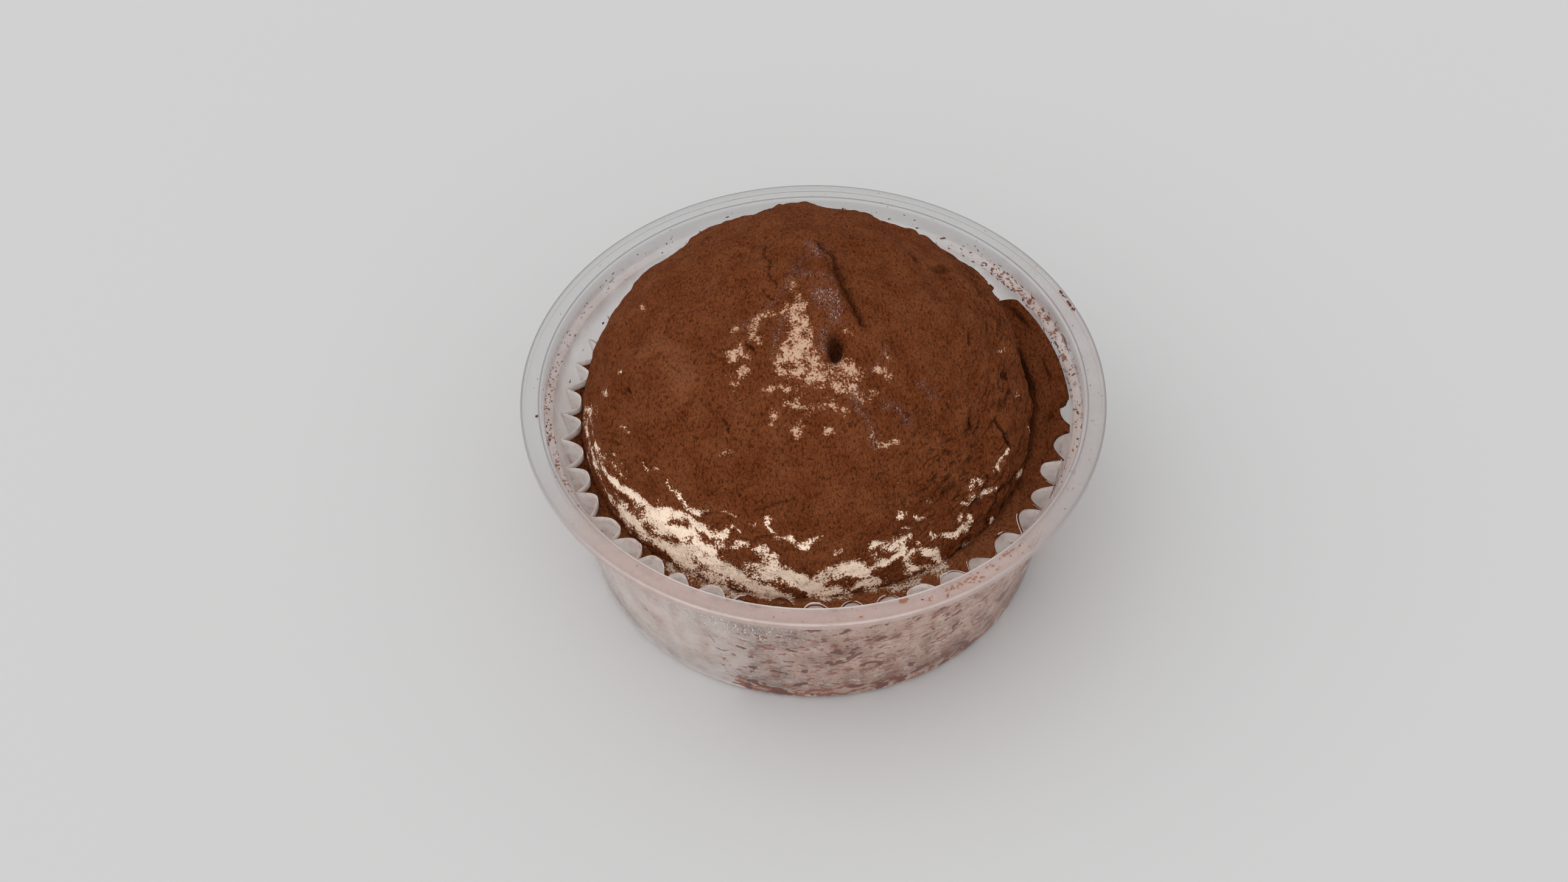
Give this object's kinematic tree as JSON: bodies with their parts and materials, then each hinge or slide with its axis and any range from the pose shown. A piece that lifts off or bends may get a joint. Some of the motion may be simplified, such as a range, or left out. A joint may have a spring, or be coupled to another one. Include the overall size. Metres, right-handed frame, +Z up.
{
  "type": "tartufo in a plastic cup",
  "caption": "Cocoa-dusted ball-shaped frozen dessert with a pulled peak, in a pleated white paper case and an open clear round plastic cup with a flat rim.",
  "frame": {"origin": "centre of the cup's underside, on the surface that it stands on", "axes": "+Z up through the cup's mouth, +X to the right and +Y away from the viewer of the picture"},
  "size_m": [0.117, 0.117, 0.0772],
  "materials": {
    "clear_plastic": "thin translucent polypropylene, faintly frosted",
    "white_paper": "thin pleated greaseproof paper, matt",
    "loose_powder": "loose cocoa powder, dead matt",
    "cocoa_crust": "cocoa powder on frozen cream, dead matt, with bare cream patches"
  },
  "bodies": {
    "root": {"cup": "clear_plastic", "paper_case": "white_paper", "loose_cocoa": "loose_powder", "tartufo": "cocoa_crust"}
  },
  "joints": []
}
